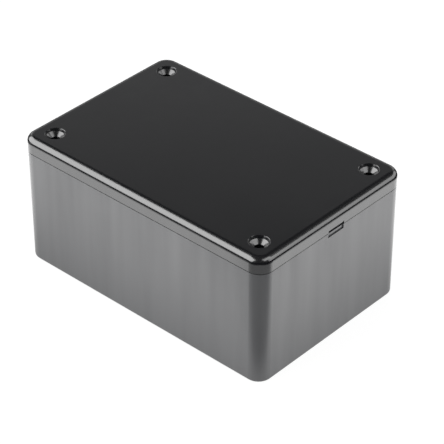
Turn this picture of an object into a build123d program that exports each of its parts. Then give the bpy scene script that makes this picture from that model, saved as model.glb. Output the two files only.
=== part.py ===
"""Plastic project box: a moulded base, a lapped lid with countersunk holes and four brass inserts."""

import math
import os

from build123d import *

# Closed box, in millimetres, with X along its long side and the origin under its middle
length = 120.0
width = 78.7
height = 55.2
corner_radius = 5.9
bottom_edge_radius = 1.1
draft_angle = 0.15

# Walls of both mouldings
wall = 2.5
floor = 2.5

# Lid: its side, its plate, the full-width rim under it, its rounded top and the edge at the parting line
lid_depth = 6.6
lid_plate = 2.8
lid_rim = 1.0
top_edge_radius = 2.75
lid_overhang = 0.15
lip_chamfer = 0.2

# Fine groove around the top of the base, which draws the parting line
reveal_height = 0.2
reveal_depth = 0.4

# Lap joint: a tongue on the base stands inside the lid's lip
tongue_thickness = 1.1
tongue_chamfer = 0.3
lap_clearance = 0.2
tongue_headroom = 0.4

# Screw places: corner posts in the base, bosses and countersunk holes in the lid
screw_inset = 9.2
screw_hole = 3.8
head_recess = 7.7
head_recess_depth = 1.1
head_recess_taper = 22.0
countersink_angle = 90.0
recess_chamfer = 0.1
post_diameter = 9.0
web_thickness = 2.0
screw_run_out = 5.0

# Brass insert sunk a little below the top of each post
insert_diameter = 5.2
insert_length = 8.0
insert_bore = 2.9
insert_sink = 0.2
insert_groove_width = 1.6
insert_groove_depth = 0.5
insert_chamfer = 0.3

# Board guides: pairs of ribs on the inner walls, with a slot for a board between them
guide_slot = 1.9
guide_rib = 1.2
guide_depth = 1.8
guide_drop = 8.0
guides_long = 5
guide_pitch_long = 16.0
guides_short = 3
guide_pitch_short = 14.0

# Pry notch at one end: a blade slot that reaches the tongue, a relief below it and a scoop in the lid's lip
notch_width = 8.5
notch_offset = 0.9
slot_height = 0.6
relief_height = 1.4
relief_depth = 0.45
scoop_height = 1.8
scoop_depth = 0.7

# Sizes that follow from those above
part_line = height - lid_depth
base_top = part_line - reveal_height
base_length = length - 2 * lid_overhang
base_width = width - 2 * lid_overhang
base_radius = corner_radius - lid_overhang
inner_length = base_length - 2 * wall
inner_width = base_width - 2 * wall
inner_radius = base_radius - wall
tongue_length = inner_length + 2 * tongue_thickness
tongue_width = inner_width + 2 * tongue_thickness
tongue_radius = inner_radius + tongue_thickness
rebate_depth = lid_depth - lid_plate - lid_rim
tongue_height = rebate_depth - tongue_headroom
tongue_top = part_line + tongue_height
screw_x = length / 2 - screw_inset
screw_y = width / 2 - screw_inset
head_seat_radius = head_recess / 2 - head_recess_depth * math.tan(math.radians(head_recess_taper))
web_reach = screw_inset - lid_overhang - wall / 2
guide_reach = guide_depth + wall / 2
guide_x = inner_length / 2 + wall / 2 - guide_reach / 2
guide_y = inner_width / 2 + wall / 2 - guide_reach / 2
guide_height = part_line - guide_drop - floor
insert_top = part_line - insert_sink
screw_span_x = 2 * screw_x
screw_span_y = 2 * screw_y
notch_side = notch_offset + notch_width / 2
relief_floor = part_line - slot_height - relief_height
scoop_radius = (scoop_height**2 + scoop_depth**2) / (2 * scoop_depth)

os.makedirs("parts", exist_ok=True)

# Base: drafted outer walls, reveal, tongue, cavity, posts, webs, guides and the pry notch
with BuildPart() as base:
    with BuildSketch(Plane.XY.offset(base_top)) as base_plan:
        RectangleRounded(base_length, base_width, base_radius)
    extrude(amount=-base_top, taper=draft_angle)
    fillet(base.faces().sort_by(Axis.Z)[0].edges(), bottom_edge_radius)

    with BuildSketch(Plane.XY.offset(base_top)) as reveal_plan:
        RectangleRounded(
            base_length - 2 * reveal_depth,
            base_width - 2 * reveal_depth,
            base_radius - reveal_depth,
        )
    extrude(amount=reveal_height)

    with BuildSketch(Plane.XY.offset(part_line)) as tongue_plan:
        RectangleRounded(tongue_length, tongue_width, tongue_radius)
    extrude(amount=tongue_height)
    chamfer(base.faces().sort_by(Axis.Z)[-1].edges(), tongue_chamfer)

    with BuildSketch(Plane.XY.offset(tongue_top)) as cavity_plan:
        RectangleRounded(inner_length, inner_width, inner_radius)
    extrude(amount=floor - tongue_top, taper=draft_angle, mode=Mode.SUBTRACT)

    with BuildSketch(Plane.XY.offset(floor)) as post_plan:
        with GridLocations(screw_span_x, screw_span_y, 2, 2):
            Circle(post_diameter / 2)
        for side_x in (-1, 1):
            for side_y in (-1, 1):
                with Locations((side_x * (screw_x + web_reach / 2), side_y * screw_y)):
                    Rectangle(web_reach, web_thickness)
                with Locations((side_x * screw_x, side_y * (screw_y + web_reach / 2))):
                    Rectangle(web_thickness, web_reach)
    extrude(amount=part_line - floor)

    with BuildSketch(Plane.XY.offset(floor)) as guide_plan:
        for side in (-1, 1):
            with Locations((0, side * guide_y)):
                with GridLocations(guide_pitch_long, 0, guides_long, 1):
                    with GridLocations(guide_slot + guide_rib, 0, 2, 1):
                        Rectangle(guide_rib, guide_reach)
            with Locations((side * guide_x, 0)):
                with GridLocations(0, guide_pitch_short, 1, guides_short):
                    with GridLocations(0, guide_slot + guide_rib, 1, 2):
                        Rectangle(guide_reach, guide_rib)
    extrude(amount=guide_height)

    with Locations((0, 0, part_line)):
        with GridLocations(screw_span_x, screw_span_y, 2, 2):
            CounterBoreHole(
                radius=insert_bore / 2,
                counter_bore_radius=insert_diameter / 2,
                counter_bore_depth=insert_sink + insert_length,
                depth=insert_sink + insert_length + screw_run_out,
            )

    with BuildSketch(Plane.XZ.offset(-notch_side)) as notch_profile:
        with BuildLine() as notch_line:
            Polyline(
                (tongue_length / 2, part_line),
                (tongue_length / 2, part_line - slot_height),
                (base_length / 2 - relief_depth, part_line - slot_height),
                (base_length / 2 - relief_depth, relief_floor),
                (base_length / 2 + relief_depth, relief_floor),
                (base_length / 2 + relief_depth, part_line),
                close=True,
            )
        make_face()
    extrude(amount=notch_width, mode=Mode.SUBTRACT)
base.part.label = "base"
export_step(base.part, "parts/base.step")

# Lid: rounded plate, hollow underside, rebate for the tongue, bosses and countersunk holes
with BuildPart() as lid:
    with BuildSketch(Plane.XY.offset(part_line)) as lid_plan:
        RectangleRounded(length, width, corner_radius)
    extrude(amount=lid_depth)
    fillet(lid.faces().sort_by(Axis.Z)[-1].edges(), top_edge_radius)
    chamfer(lid.faces().sort_by(Axis.Z)[0].edges(), lip_chamfer)

    with BuildSketch(Plane.XY.offset(part_line)) as hollow_plan:
        RectangleRounded(inner_length, inner_width, inner_radius)
    extrude(amount=lid_depth - lid_plate, mode=Mode.SUBTRACT)

    with BuildSketch(Plane.XY.offset(part_line)) as rebate_plan:
        RectangleRounded(
            tongue_length + 2 * lap_clearance,
            tongue_width + 2 * lap_clearance,
            tongue_radius + lap_clearance,
        )
    extrude(amount=rebate_depth, mode=Mode.SUBTRACT)

    with BuildSketch(Plane.XY.offset(part_line)) as boss_plan:
        with GridLocations(screw_span_x, screw_span_y, 2, 2):
            Circle(post_diameter / 2)
    extrude(amount=lid_depth - lid_plate)

    with Locations((0, 0, height - head_recess_depth / 2)):
        with GridLocations(screw_span_x, screw_span_y, 2, 2):
            Cone(head_seat_radius, head_recess / 2, head_recess_depth, mode=Mode.SUBTRACT)
    with Locations((0, 0, height - head_recess_depth)):
        with GridLocations(screw_span_x, screw_span_y, 2, 2):
            CounterSinkHole(screw_hole / 2, head_seat_radius, counter_sink_angle=countersink_angle)
    top_face = lid.faces().sort_by(Axis.Z)[-1]
    chamfer(top_face.inner_wires().edges(), recess_chamfer)

    with BuildSketch(Plane.XZ.offset(-notch_side)) as scoop_profile:
        with BuildLine() as scoop_line:
            lip_arc = RadiusArc(
                (length / 2 - scoop_depth, part_line),
                (length / 2, part_line + scoop_height),
                -scoop_radius,
            )
            Polyline(
                lip_arc @ 1,
                (length / 2 + scoop_depth, part_line + scoop_height),
                (length / 2 + scoop_depth, part_line),
                lip_arc @ 0,
            )
        make_face()
    extrude(amount=notch_width, mode=Mode.SUBTRACT)
lid.part.label = "lid"
export_step(lid.part, "parts/lid.step")

# Inserts: brass bushes with a waist, one pressed into the top of each post
insert_places = {
    "insert_front_left": (-screw_x, -screw_y),
    "insert_front_right": (screw_x, -screw_y),
    "insert_back_left": (-screw_x, screw_y),
    "insert_back_right": (screw_x, screw_y),
}
for insert_name, (place_x, place_y) in insert_places.items():
    insert_plane = Plane((place_x, place_y, insert_top))
    waist_plane = insert_plane.offset(-(insert_length - insert_groove_width) / 2)
    with BuildPart() as insert:
        with BuildSketch(insert_plane) as bush_plan:
            Circle(insert_diameter / 2)
            Circle(insert_bore / 2, mode=Mode.SUBTRACT)
        extrude(amount=-insert_length)
        chamfer(insert.edges().group_by(Axis.Z)[-1], insert_chamfer)
        with BuildSketch(waist_plane) as waist_plan:
            Circle(insert_diameter / 2)
            Circle(insert_diameter / 2 - insert_groove_depth, mode=Mode.SUBTRACT)
        extrude(amount=-insert_groove_width, mode=Mode.SUBTRACT)
    insert.part.label = insert_name
    export_step(insert.part, f"parts/{insert_name}.step")
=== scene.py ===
# %% [markdown]
# # A black plastic project box
#
# The object is a moulded ABS box for electronics: a deep base, a lapped lid with four recessed screw
# holes, and a brass screw insert in each corner post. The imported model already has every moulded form
# at its real size, so this lesson loads it as a fixed frame and adds what the eye looks for: the finish
# of the plastic, inserts with a knurl and a thread, and a small studio with a camera.

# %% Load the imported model
import bmesh
import bpy
import math
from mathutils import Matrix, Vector


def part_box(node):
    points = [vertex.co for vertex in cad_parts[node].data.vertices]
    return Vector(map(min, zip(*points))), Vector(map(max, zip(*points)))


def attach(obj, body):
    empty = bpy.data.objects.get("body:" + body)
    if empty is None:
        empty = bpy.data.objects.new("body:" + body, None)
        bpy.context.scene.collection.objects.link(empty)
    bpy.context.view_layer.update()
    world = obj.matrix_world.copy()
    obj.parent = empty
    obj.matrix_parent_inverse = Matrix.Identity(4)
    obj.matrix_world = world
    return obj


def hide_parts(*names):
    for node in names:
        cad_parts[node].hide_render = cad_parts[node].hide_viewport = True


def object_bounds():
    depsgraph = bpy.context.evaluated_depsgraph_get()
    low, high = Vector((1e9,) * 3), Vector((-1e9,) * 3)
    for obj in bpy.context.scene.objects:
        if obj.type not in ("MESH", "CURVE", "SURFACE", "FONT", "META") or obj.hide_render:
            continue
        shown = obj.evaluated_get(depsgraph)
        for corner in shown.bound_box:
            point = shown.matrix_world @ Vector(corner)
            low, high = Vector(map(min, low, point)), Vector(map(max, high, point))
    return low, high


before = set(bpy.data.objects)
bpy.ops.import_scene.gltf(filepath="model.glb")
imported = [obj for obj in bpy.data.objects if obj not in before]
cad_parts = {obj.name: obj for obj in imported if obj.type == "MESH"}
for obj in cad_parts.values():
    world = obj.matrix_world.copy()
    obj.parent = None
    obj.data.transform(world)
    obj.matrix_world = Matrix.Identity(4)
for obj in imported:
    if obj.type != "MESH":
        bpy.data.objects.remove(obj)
cad_low, cad_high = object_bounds()
box_middle = (cad_low + cad_high) / 2
MM = 0.001


def in_mm(length):
    """A length in millimetres, rounded for printing."""
    return round(length / MM, 2)


print("box of", [in_mm(side) for side in cad_high - cad_low], "mm, nodes:", sorted(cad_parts))

# %% [markdown]
# ## Helpers for materials
#
# A colour is easiest to pick as the sRGB hex value that a paint program shows, but Blender's sockets take
# linear light, so one function turns the first into the second. Two more wire up nodes. One fills the
# inputs of a node, each with a value or with the output of another node, and the other adds a node with
# its settings and inputs. That keeps every material a short list that reads from the pattern to the shader.

# %% Helpers for colours and nodes
def linear(hex_colour):
    """Turns an sRGB colour such as #808080 into linear red, green, blue and alpha."""
    shares = [int(hex_colour[place:place + 2], 16) / 255 for place in (1, 3, 5)]
    light = [s / 12.92 if s <= 0.04045 else ((s + 0.055) / 1.055) ** 2.4 for s in shares]
    return (*light, 1.0)


def set_inputs(node, inputs):
    """Puts a value on each named input of a node, or a link where it gets another node's output."""
    for socket, value in inputs.items():
        if isinstance(value, bpy.types.NodeSocket):
            node.id_data.links.new(value, node.inputs[socket])
        else:
            node.inputs[socket].default_value = value


def add_node(tree, kind, settings=None, inputs=None):
    """Adds one node to a tree, with its settings and its inputs."""
    node = tree.nodes.new(kind)
    for name, value in (settings or {}).items():
        setattr(node, name, value)
    set_inputs(node, inputs or {})
    return node


print("sRGB #808080 in linear light:", [round(share, 4) for share in linear("#808080")[:3]])

# %% [markdown]
# ## Moulded ABS
#
# Both mouldings are dark ABS. The walls are satin with faint upright streaks, such as a mould leaves that
# was polished in the direction of draw, and the streaks change the gloss more than the colour. The walls'
# grey is lighter than the lid's, though both are the same black plastic: part of that grey is painted sheen,
# and the rest is the sheen that their satin gloss catches from the lamps and the paper. The lid is smoother
# and mirrors its surroundings more sharply, though faces that look straight up are a shade duller.
# Image textures could hold such streaks, but noise on Object coordinates needs no unwrapping and keeps its
# size in millimetres, so that is used: one noise stretched along Z for the streaks, a broad one for uneven
# cooling, and a fine one for the grain.

# %% Sizes in the moulded finish
STREAK_WIDTH = 5 * MM
STREAK_LENGTH = 70 * MM
STREAK_DETAIL = 3.0
CLOUD_SIZE = 22 * MM
# The real grain is under 0.1 mm and would vanish in the render, so it is drawn three times coarser
GRAIN_SIZE = 0.3 * MM
GRAIN_HEIGHT = 0.004 * MM
# The hairline radius that a mould leaves on every edge
EDGE_ROUND = 0.06 * MM
EDGE_SAMPLES = 4
print("streaks", in_mm(STREAK_WIDTH), "by", in_mm(STREAK_LENGTH), "mm, grain", in_mm(GRAIN_SIZE), "mm")

# %% Material for the mouldings
ABS_IOR = 1.54
ABS_SPECULAR = 1.0
# Noise seldom leaves this span
NOISE_SPAN = {"From Min": 0.3, "From Max": 0.7}
# From this Z of its normal on, a face counts as flat and gains up to this much roughness
FLAT_FROM = 0.97
FLAT_DULLING = 0.12


def moulded_abs(name, dark, light, roughness, streak_swing, cloud_swing, grain_share):
    """Dark ABS whose streaks and clouds change its gloss and, a little, its grey."""
    material = bpy.data.materials.new(name)
    material.use_nodes = True
    tree = material.node_tree
    surface = add_node(tree, "ShaderNodeTexCoord")
    place = surface.outputs["Object"]
    streak_scale = (1 / STREAK_WIDTH, 1 / STREAK_WIDTH, 1 / STREAK_LENGTH)
    stretched = add_node(tree, "ShaderNodeMapping", None, {"Vector": place, "Scale": streak_scale})
    streak = add_node(tree, "ShaderNodeTexNoise", None,
                      {"Vector": stretched.outputs["Vector"], "Scale": 1.0, "Detail": STREAK_DETAIL})
    cloud = add_node(tree, "ShaderNodeTexNoise", None, {"Vector": place, "Scale": 1 / CLOUD_SIZE})
    grain = add_node(tree, "ShaderNodeTexNoise", None, {"Vector": place, "Scale": 1 / GRAIN_SIZE})
    gloss = add_node(tree, "ShaderNodeMapRange", None,
                     {"Value": streak.outputs["Fac"], **NOISE_SPAN,
                      "To Min": roughness - streak_swing, "To Max": roughness + streak_swing})
    drift = add_node(tree, "ShaderNodeMapRange", None,
                     {"Value": cloud.outputs["Fac"], **NOISE_SPAN,
                      "To Min": -cloud_swing, "To Max": cloud_swing})
    upward = add_node(tree, "ShaderNodeSeparateXYZ", None, {"Vector": surface.outputs["Normal"]})
    dulling = add_node(tree, "ShaderNodeMapRange", None,
                       {"Value": upward.outputs["Z"], "From Min": FLAT_FROM, "From Max": 1.0,
                        "To Min": 0.0, "To Max": FLAT_DULLING})
    uneven = add_node(tree, "ShaderNodeMath", {"operation": "ADD"},
                      {0: gloss.outputs["Result"], 1: drift.outputs["Result"]})
    rough = add_node(tree, "ShaderNodeMath", {"operation": "ADD"},
                     {0: uneven.outputs["Value"], 1: dulling.outputs["Result"]})
    grey = add_node(tree, "ShaderNodeMix", {"data_type": "RGBA"},
                    {"Factor": streak.outputs["Fac"], "A": linear(light), "B": linear(dark)})
    edge = add_node(tree, "ShaderNodeBevel", {"samples": EDGE_SAMPLES}, {"Radius": EDGE_ROUND})
    bump = add_node(tree, "ShaderNodeBump", None,
                    {"Height": grain.outputs["Fac"], "Strength": grain_share,
                     "Distance": GRAIN_HEIGHT, "Normal": edge.outputs["Normal"]})
    set_inputs(tree.nodes["Principled BSDF"],
               {"Base Color": grey.outputs["Result"], "Roughness": rough.outputs["Value"],
                "Normal": bump.outputs["Normal"], "IOR": ABS_IOR, "Specular IOR Level": ABS_SPECULAR})
    print(name, "has", len(tree.nodes), "nodes")
    return material


# %% Finish the base and the lid
# Satin ABS gives the eye soft grey walls that blur the paper, and its base grey, lighter than the lid's, is
# partly painted sheen
satin_abs_with_painted_sheen = moulded_abs("satin_moulded_abs_with_painted_sheen", dark="#3b3c3f", light="#4b4c4e", roughness=0.34,
                        streak_swing=0.035, cloud_swing=0.02, grain_share=0.6)
# Smooth ABS gives the eye a black lid with crisp bright edges
smooth_abs = moulded_abs("smooth_moulded_abs", dark="#121316", light="#17181b", roughness=0.21,
                         streak_swing=0.015, cloud_swing=0.02, grain_share=0.3)
for node_name, material in (("base", satin_abs_with_painted_sheen), ("lid", smooth_abs)):
    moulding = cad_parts[node_name]
    moulding.data.materials.clear()
    moulding.data.materials.append(material)
    print(node_name, "takes", material.name)

# %% [markdown]
# ## Polished edges
#
# The lid's rounded edge and the seats of its screw holes shine more than the flat top, as they do where a
# mould is polished by hand round its edges only. A second material on those faces would need a mesh that is
# cut there. A clear coat does it without, if a mask keeps it to slopes that are neither a side nor the top.
# The mask reads the Z of the surface normal, which is 0 on an upright side and 1 on a level top.

# %% Polish the edges of the lid
# The coat fades in over the first span of the normal's Z and out over the second
SIDE_ENDS = (0.38, 0.4)
TOP_STARTS = (0.93, 0.98)
# A stronger mirror than plain ABS, matched to the bright strips along the lid
COAT_IOR = 2.5
COAT_ROUGHNESS = 0.21

tree = smooth_abs.node_tree
facing = add_node(tree, "ShaderNodeTexCoord").outputs["Normal"]
slope = add_node(tree, "ShaderNodeSeparateXYZ", None, {"Vector": facing}).outputs["Z"]
off_side = add_node(tree, "ShaderNodeMapRange", None,
                    {"Value": slope, "From Min": SIDE_ENDS[0], "From Max": SIDE_ENDS[1],
                     "To Min": 0.0, "To Max": 1.0})
off_top = add_node(tree, "ShaderNodeMapRange", None,
                   {"Value": slope, "From Min": TOP_STARTS[0], "From Max": TOP_STARTS[1],
                    "To Min": 1.0, "To Max": 0.0})
polished = add_node(tree, "ShaderNodeMath", {"operation": "MULTIPLY"},
                    {0: off_side.outputs["Result"], 1: off_top.outputs["Result"]})
set_inputs(tree.nodes["Principled BSDF"],
           {"Coat Weight": polished.outputs["Value"], "Coat IOR": COAT_IOR,
            "Coat Roughness": COAT_ROUGHNESS})
print("lid polished where its normal's Z lies between", SIDE_ENDS[1], "and", TOP_STARTS[0])

# %% [markdown]
# ## Turned brass
#
# The inserts are cut from brass bar on a lathe. The tool leaves fine rings that run round the bush, on its
# top as well as on its sides, so a pattern in X, Y and Z can't follow them. Each bush therefore carries its
# own measure of the tool's path as a vertex attribute, named turning, and the rings are a noise along it.
# Brass is a metal, so its colour tints the reflection, and handling has dulled it a little.

# %% Material for the inserts
# The feed marks of a real lathe are about 0.05 mm apart, here twice that so that they show
FEED_MARK = 0.1 * MM
FEED_HEIGHT = 0.006 * MM
FEED_STRENGTH = 0.5
FEED_ROUGHNESS = (0.24, 0.38)
TARNISH_SIZE = 1.5 * MM
TARNISH_DETAIL = 3.0

# Turned brass gives the eye a warm glint that runs in fine rings
turned_brass = bpy.data.materials.new("turned_brass")
turned_brass.use_nodes = True
tree = turned_brass.node_tree
place = add_node(tree, "ShaderNodeTexCoord").outputs["Object"]
path = add_node(tree, "ShaderNodeAttribute", {"attribute_name": "turning"}).outputs["Fac"]
marks = add_node(tree, "ShaderNodeTexNoise", {"noise_dimensions": "1D"},
                 {"W": path, "Scale": 1 / FEED_MARK})
tarnish = add_node(tree, "ShaderNodeTexNoise", None,
                   {"Vector": place, "Scale": 1 / TARNISH_SIZE, "Detail": TARNISH_DETAIL})
tint = add_node(tree, "ShaderNodeMix", {"data_type": "RGBA"},
                {"Factor": tarnish.outputs["Fac"], "A": linear("#b48a45"), "B": linear("#d9b56a")})
polish = add_node(tree, "ShaderNodeMapRange", None,
                  {"Value": marks.outputs["Fac"], **NOISE_SPAN,
                   "To Min": FEED_ROUGHNESS[0], "To Max": FEED_ROUGHNESS[1]})
groove = add_node(tree, "ShaderNodeBump", None,
                  {"Height": marks.outputs["Fac"], "Strength": FEED_STRENGTH, "Distance": FEED_HEIGHT})
set_inputs(tree.nodes["Principled BSDF"],
           {"Base Color": tint.outputs["Result"], "Roughness": polish.outputs["Result"],
            "Normal": groove.outputs["Normal"], "Metallic": 1.0})
print("brass rings every", in_mm(FEED_MARK), "mm")

# %% [markdown]
# ## Knurled inserts
#
# A press-in insert has two knurled bands that grip the post, a plain waist that the plastic flows into, and
# a thread for the lid's screw. A screw modifier could wind a true thread, but only its fine steps show down
# a 3 mm bore, so the section is drawn once as a closed outline with the thread as a zigzag, and one full
# spin turns it into the bush. Every other point of the bands is then pushed in, which raises the diamonds.

# %% Outline of an insert
CHAMFER = 0.3 * MM
WAIST_HEIGHT = 1.6 * MM
WAIST_DEPTH = 0.5 * MM
BORE_RADIUS = 1.45 * MM
THREAD_PITCH = 0.5 * MM
THREAD_DEPTH = 0.25 * MM
KNURL_ROW = 0.4 * MM


def band_outline(radius, top, bottom):
    """Corners down one knurled band, in even rows."""
    rows = round((top - bottom) / KNURL_ROW)
    return [(radius, top + (bottom - top) * row / rows) for row in range(rows + 1)]


def insert_outline(radius, bottom, top):
    """Radius and height of each corner of a bush's section, down its outside and up its bore."""
    middle = (bottom + top) / 2
    waist_top = middle + WAIST_HEIGHT / 2
    waist_bottom = middle - WAIST_HEIGHT / 2
    corners = [(radius - CHAMFER, top)]
    corners += band_outline(radius, top - CHAMFER, waist_top)
    corners += [(radius - WAIST_DEPTH, waist_top), (radius - WAIST_DEPTH, waist_bottom)]
    corners += band_outline(radius, waist_bottom, bottom)
    turns = int((top - CHAMFER - bottom) / THREAD_PITCH)
    for turn in range(turns):
        height = bottom + turn * THREAD_PITCH
        corners += [(BORE_RADIUS, height), (BORE_RADIUS + THREAD_DEPTH, height + THREAD_PITCH / 2)]
    return corners + [(BORE_RADIUS, bottom + turns * THREAD_PITCH), (BORE_RADIUS + CHAMFER, top)]


print("thread pitch", in_mm(THREAD_PITCH), "mm, knurl rows every", in_mm(KNURL_ROW), "mm")

# %% Spin and knurl a bush
TURN_STEPS = 64
KNURL_DEPTH = 0.13 * MM
RIM_TOLERANCE = 0.01 * MM


def spun_bush(axis, radius, bottom, top):
    """Turns the outline round an upright axis and notes the tool's path at each point."""
    bush = bmesh.new()
    corners = [bush.verts.new((axis.x + out, axis.y, height))
               for out, height in insert_outline(radius, bottom, top)]
    sides = [bush.edges.new((corners[place - 1], corners[place])) for place in range(len(corners))]
    bmesh.ops.spin(bush, geom=corners + sides, cent=axis, axis=(0, 0, 1),
                   angle=2 * math.pi, steps=TURN_STEPS, use_merge=True)
    bmesh.ops.recalc_face_normals(bush, faces=bush.faces)
    turning = bush.verts.layers.float.new("turning")
    for vert in bush.verts:
        vert[turning] = (vert.co.xy - axis.xy).length - vert.co.z
    return bush


def knurl(bush, axis, radius):
    """Pushes in every other point of the bands, so that each row is half a diamond off the next."""
    heights = {vert: round(vert.co.z / MM, 3) for vert in bush.verts
               if (vert.co.xy - axis.xy).length > radius - RIM_TOLERANCE}
    rows = sorted(set(heights.values()))
    for vert, height in heights.items():
        spoke = vert.co.xy - axis.xy
        step = round(math.atan2(spoke.y, spoke.x) / (2 * math.pi) * TURN_STEPS)
        if (step + rows.index(height)) % 2:
            vert.co.xy -= spoke.normalized() * KNURL_DEPTH


print("knurl of", TURN_STEPS // 2, "diamonds a turn,", in_mm(KNURL_DEPTH), "mm deep")

# %% Set the inserts in their posts
SHARP_ANGLE = math.radians(25)


def mesh_object(name, shape, material):
    """Puts a finished bmesh in the scene as an object with one material."""
    mesh = bpy.data.meshes.new(name)
    shape.to_mesh(mesh)
    shape.free()
    mesh.materials.append(material)
    made = bpy.data.objects.new(name, mesh)
    bpy.context.scene.collection.objects.link(made)
    return made


def knurled_insert(node_name):
    """Builds one bush where a CAD insert stands, rides it on the base and hides the CAD node."""
    low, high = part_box(node_name)
    axis = Vector(((low.x + high.x) / 2, (low.y + high.y) / 2, 0))
    radius = (high.x - low.x) / 2
    bush = spun_bush(axis, radius, low.z, high.z)
    knurl(bush, axis, radius)
    piece = mesh_object("knurled_" + node_name, bush, turned_brass)
    piece.data.set_sharp_from_angle(angle=SHARP_ANGLE)
    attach(piece, "base")
    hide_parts(node_name)
    print(piece.name, "has", len(piece.data.polygons), "faces")


for node_name in sorted(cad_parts):
    if node_name.startswith("insert"):
        knurled_insert(node_name)

# %% [markdown]
# ## Camera
#
# The box is seen from above its near corner, with the long wall on the left and the end wall with the pry
# notch on the right. Its edges close up only a little towards the back, so the camera stands well away with
# a long lens. An orthographic camera would keep the edges quite parallel, and a short lens would flare the
# near corner, so neither gives these proportions. The directions found here also place the lamps and the
# paper, which saves working them out twice.

# %% Place the camera
CAMERA_AZIMUTH = math.radians(42.732)
CAMERA_ELEVATION = math.radians(35.28)
CAMERA_DISTANCE = 777.46 * MM
CAMERA_LENS = 167.5
CLIP_START = 10 * MM
AIM_RIGHT = 4.37 * MM
AIM_UP = -3.70 * MM

to_right = Vector((math.cos(CAMERA_AZIMUTH), math.sin(CAMERA_AZIMUTH), 0))
to_front = Vector((math.sin(CAMERA_AZIMUTH), -math.cos(CAMERA_AZIMUTH), 0))
to_camera = to_front * math.cos(CAMERA_ELEVATION) + Vector((0, 0, math.sin(CAMERA_ELEVATION)))
to_top = to_camera.cross(to_right)
camera = bpy.data.objects.new("camera", bpy.data.cameras.new("camera"))
bpy.context.scene.collection.objects.link(camera)
bpy.context.scene.camera = camera
camera.data.lens = CAMERA_LENS
camera.data.clip_start = CLIP_START
camera.location = box_middle + to_camera * CAMERA_DISTANCE
aim = box_middle + to_right * AIM_RIGHT + to_top * AIM_UP
camera.rotation_euler = (aim - camera.location).to_track_quat("-Z", "Y").to_euler()
print("camera at", [in_mm(part) for part in camera.location], "mm with a lens of", CAMERA_LENS, "mm")

# %% [markdown]
# ## White paper
#
# The box stands on a broad sheet of white paper that runs past the edge of the picture, so nothing but its
# shadow marks the ground. A curved backdrop would do the same, but a flat sheet large enough needs no bend
# at this height of the camera.

# %% Lay the sheet
FLOOR_HALF = 3.0

white_paper = bpy.data.materials.new("white_paper_sheet")
white_paper.use_nodes = True
sheet = bmesh.new()
bmesh.ops.create_grid(sheet, x_segments=1, y_segments=1, size=FLOOR_HALF)
floor = mesh_object("floor", sheet, white_paper)
print("paper of", 2 * FLOOR_HALF, "m a side")

# %% [markdown]
# ## What the walls mirror
#
# Gloss on black plastic shows little of its own colour and a lot of what stands opposite, and the walls
# stand opposite the paper. The foot of a wall mirrors the paper close by, which the box itself shades, and
# the upper part mirrors paper further out, which is brighter until the lit patch ends. A lamp aimed at the
# paper could draw that patch, but it would also spill onto the box. So the paper gives off its patch of
# light to mirrored rays only, by its distance from the walls, and the ground in front of the near corner,
# where the patch ends, keeps that corner dark.

# %% Measure the distance from the walls
tree = white_paper.node_tree
place = add_node(tree, "ShaderNodeTexCoord").outputs["Object"]
folded = add_node(tree, "ShaderNodeVectorMath", {"operation": "ABSOLUTE"}, {0: place})
past_wall = add_node(tree, "ShaderNodeVectorMath", {"operation": "SUBTRACT"},
                     {0: folded.outputs["Vector"], 1: (cad_high.x, cad_high.y, 0)})
sides = add_node(tree, "ShaderNodeSeparateXYZ", None, {"Vector": past_wall.outputs["Vector"]})
gap = add_node(tree, "ShaderNodeMath", {"operation": "MAXIMUM"},
               {0: sides.outputs["X"], 1: sides.outputs["Y"]})
ahead = add_node(tree, "ShaderNodeVectorMath", {"operation": "DOT_PRODUCT"}, {0: place, 1: to_front})
print("distance counts from", in_mm(cad_high.x), "and", in_mm(cad_high.y), "mm off the middle")

# %% Draw the lit patch
PATCH_GLOW = 2.15
GLOW_AT_WALL = 0.5
# How far from the walls the glow is full, starts to fade and ends
GLOW_FULL = 45 * MM
GLOW_HOLD = 72 * MM
GLOW_END = 125 * MM
# How far ahead of the box's middle the glow starts to fall, and where it is down to its share
FRONT_START = 66 * MM
FRONT_END = 86 * MM
FRONT_SHARE = 0.3

rise = add_node(tree, "ShaderNodeMapRange", None,
                {"Value": gap.outputs["Value"], "From Max": GLOW_FULL,
                 "To Min": PATCH_GLOW * GLOW_AT_WALL, "To Max": PATCH_GLOW})
fall = add_node(tree, "ShaderNodeMapRange", {"interpolation_type": "SMOOTHSTEP"},
                {"Value": gap.outputs["Value"], "From Min": GLOW_HOLD, "From Max": GLOW_END,
                 "To Min": 1.0, "To Max": 0.0})
front = add_node(tree, "ShaderNodeMapRange", {"interpolation_type": "SMOOTHSTEP"},
                 {"Value": ahead.outputs["Value"], "From Min": FRONT_START, "From Max": FRONT_END,
                  "To Min": 1.0, "To Max": FRONT_SHARE})
ring = add_node(tree, "ShaderNodeMath", {"operation": "MULTIPLY"},
                {0: rise.outputs["Result"], 1: fall.outputs["Result"]})
patch = add_node(tree, "ShaderNodeMath", {"operation": "MULTIPLY"},
                 {0: ring.outputs["Value"], 1: front.outputs["Result"]})
print("lit patch ends", in_mm(GLOW_END), "mm from the walls")

# %% [markdown]
# ## Paper for the camera
#
# To the camera the paper is nearly white by itself, and the lamps add the rest, so only the shadow of the
# box stays a little grey. Light that bounces off it up to the walls is what plain white paper returns. One
# Light Path node tells these rays apart, and a sheet with one fixed brightness could not serve all three.

# %% Share the paper out between the rays
CAMERA_WHITE = 0.9
PAPER_ALBEDO = 0.8
SHADOW_ALBEDO = 0.2
WHITE = linear("#ffffff")
BLACK = linear("#000000")


def straight_rays(tree, ray):
    """Gives 1 to rays straight from the camera, also through clear things, and 0 to all others."""
    straight = add_node(tree, "ShaderNodeMath", {"operation": "MAXIMUM"},
                        {0: ray.outputs["Is Camera Ray"], 1: ray.outputs["Is Transmission Ray"]})
    return straight.outputs["Value"]


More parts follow.
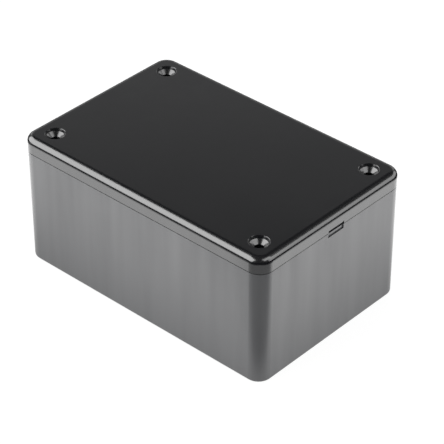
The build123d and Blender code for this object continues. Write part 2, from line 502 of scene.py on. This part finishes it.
ray = add_node(tree, "ShaderNodeLightPath")
straight = straight_rays(tree, ray)
mirrored = add_node(tree, "ShaderNodeMath", {"operation": "MULTIPLY"},
                    {0: ray.outputs["Is Glossy Ray"], 1: patch.outputs["Value"]})
given_off = add_node(tree, "ShaderNodeMath", {"operation": "MULTIPLY_ADD"},
                     {0: straight, 1: CAMERA_WHITE, 2: mirrored.outputs["Value"]})
seen = add_node(tree, "ShaderNodeMix", {"data_type": "RGBA"},
                {"Factor": straight, "A": (PAPER_ALBEDO,) * 3 + (1,), "B": (SHADOW_ALBEDO,) * 3 + (1,)})
returned = add_node(tree, "ShaderNodeMix", {"data_type": "RGBA"},
                    {"Factor": ray.outputs["Is Glossy Ray"], "A": seen.outputs["Result"], "B": BLACK})
# Matt paper gives the eye an even white with no shine of its own
set_inputs(tree.nodes["Principled BSDF"],
           {"Base Color": returned.outputs["Result"], "Roughness": 1.0, "Specular IOR Level": 0.0,
            "Emission Color": WHITE, "Emission Strength": given_off.outputs["Value"]})
print(white_paper.name, "has", len(tree.nodes), "nodes")

# %% [markdown]
# ## Softboxes
#
# Four plain softboxes stand round the box. The left one draws the bright strip along the lid's long edge
# and fills the right half of each screw recess. It stands furthest off, so that the strip keeps its width
# from end to end. The right one does the same, dimmer, for the edge above the notch, and a small one in
# front of it fills the left halves of the recesses. The low one behind the box is mirrored in the lid's
# top, which fades from the back to the front. Spot lamps would give hard glints on the rounded edges, and
# an even sky would grey the whole lid, so area lamps are used. Each is given by the heights in degrees
# between which the box sees it, because those decide where a strip ends.

# %% Hang the softboxes
NEAR_DISTANCE = 0.9
FAR_DISTANCE = 2.7


def softbox(name, turn, low_edge, high_edge, width, power, distance=NEAR_DISTANCE):
    """An area lamp facing the box, from its low to its high edge; turn counts to the right of the camera."""
    around = math.radians(turn)
    tilt = math.radians((low_edge + high_edge) / 2)
    spread = math.radians((high_edge - low_edge) / 2)
    side = to_front * math.cos(around) + to_right * math.sin(around)
    direction = side * math.cos(tilt) + Vector((0, 0, math.sin(tilt)))
    lamp = bpy.data.lights.new(name, "AREA")
    lamp.shape = "RECTANGLE"
    lamp.size = width
    lamp.size_y = 2 * distance * math.tan(spread)
    lamp.energy = power
    holder = bpy.data.objects.new(name, lamp)
    holder.location = direction * distance
    holder.rotation_euler = direction.to_track_quat("Z", "Y").to_euler()
    holder.visible_camera = False
    bpy.context.scene.collection.objects.link(holder)
    print(name, "lights from", turn, "degrees with", power, "W")


softbox("left_softbox", turn=-90, low_edge=2.2, high_edge=54.5, width=4.6, power=65, distance=FAR_DISTANCE)
softbox("right_softbox", turn=98, low_edge=5, high_edge=35, width=1.3, power=1.65)
softbox("front_softbox", turn=57, low_edge=33, high_edge=60, width=0.75, power=0.96)
softbox("back_softbox", turn=180, low_edge=2, high_edge=34.5, width=1.2, power=0.95)

# %% [markdown]
# ## Room
#
# The room fills the shadows with soft light, but it is nearly dark where the box mirrors it, which is what
# keeps the screw recesses and the lid black. The background still has to be white, so the world is white
# to rays straight from the camera, half white to scattered light and dim to mirrored rays. A bright world
# for every ray would be simpler, but the lid would mirror it and turn grey.

# %% Dim the room
ROOM_MIRRORED = 0.03
ROOM_FILL = 0.5

room = bpy.data.worlds.new("studio_room")
bpy.context.scene.world = room
room.use_nodes = True
tree = room.node_tree
ray = add_node(tree, "ShaderNodeLightPath")
fill = add_node(tree, "ShaderNodeMix", {"data_type": "FLOAT"},
                {"Factor": ray.outputs["Is Diffuse Ray"], "A": ROOM_MIRRORED, "B": ROOM_FILL})
strength = add_node(tree, "ShaderNodeMix", {"data_type": "FLOAT"},
                    {"Factor": straight_rays(tree, ray), "A": fill.outputs["Result"], "B": 1.0})
set_inputs(tree.nodes["Background"], {"Color": WHITE, "Strength": strength.outputs["Result"]})
bpy.context.scene.view_settings.view_transform = "Standard"
print("room gives", ROOM_FILL, "to scattered light and", ROOM_MIRRORED, "to mirrored rays")
